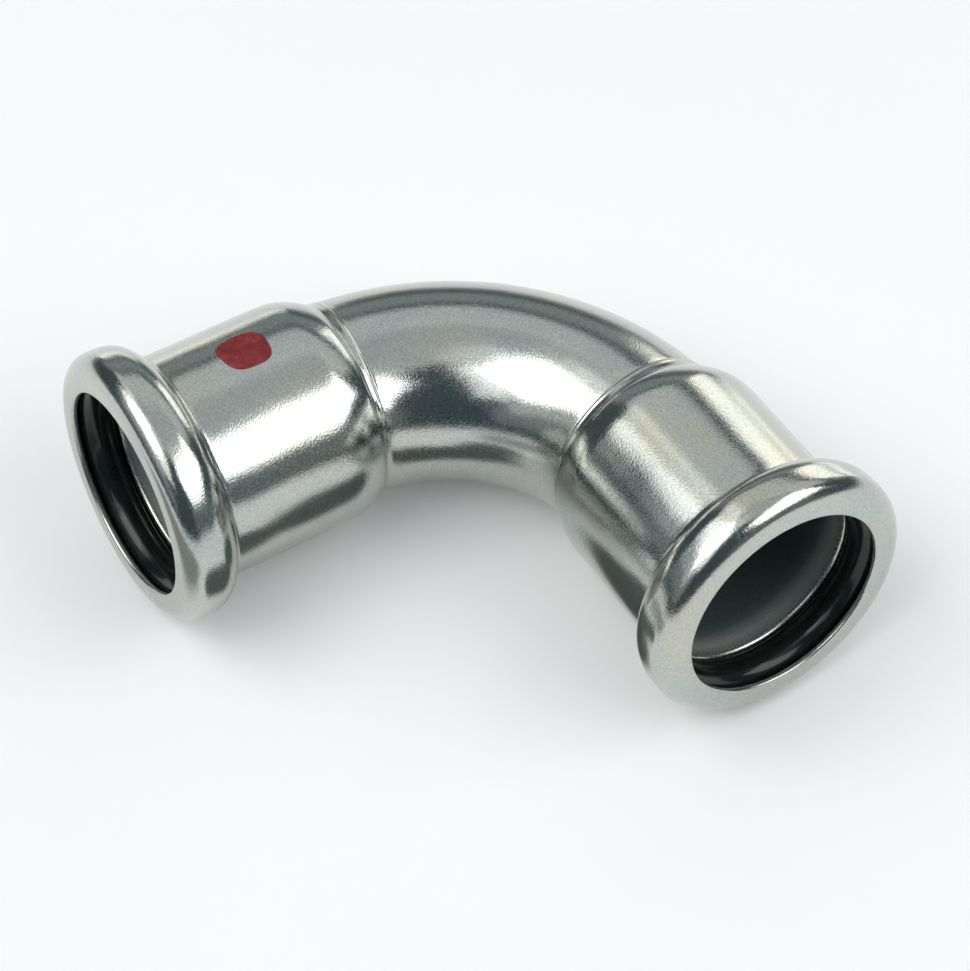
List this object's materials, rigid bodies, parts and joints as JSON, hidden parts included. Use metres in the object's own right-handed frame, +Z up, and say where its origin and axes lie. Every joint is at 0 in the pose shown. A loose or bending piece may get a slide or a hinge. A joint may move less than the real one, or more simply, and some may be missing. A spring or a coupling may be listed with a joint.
{
  "type": "press fit pipe elbow",
  "caption": "Zinc-plated steel pipe elbow bent through a right angle, with a beaded press socket and a black rubber seal ring at each end.",
  "frame": {"origin": "middle of the base of the fitting's box, on the ground that it lies on", "axes": "+X from the left bead to the right bead, +Y towards the back of the bend, +Z up; the fitting lies on both beads and on the back of the bend"},
  "size_m": [0.0918, 0.0464, 0.031],
  "materials": {
    "plated_steel": "satin zinc plating, bright, with a fine grain",
    "seal_rubber": "smooth black rubber with a soft gloss",
    "red_paint": "thin dark red paint, slightly glossy"
  },
  "bodies": {
    "root": {"elbow_body": "plated_steel", "seal_ring_left": "seal_rubber", "seal_ring_right": "seal_rubber", "red_mark": "red_paint"}
  },
  "joints": []
}
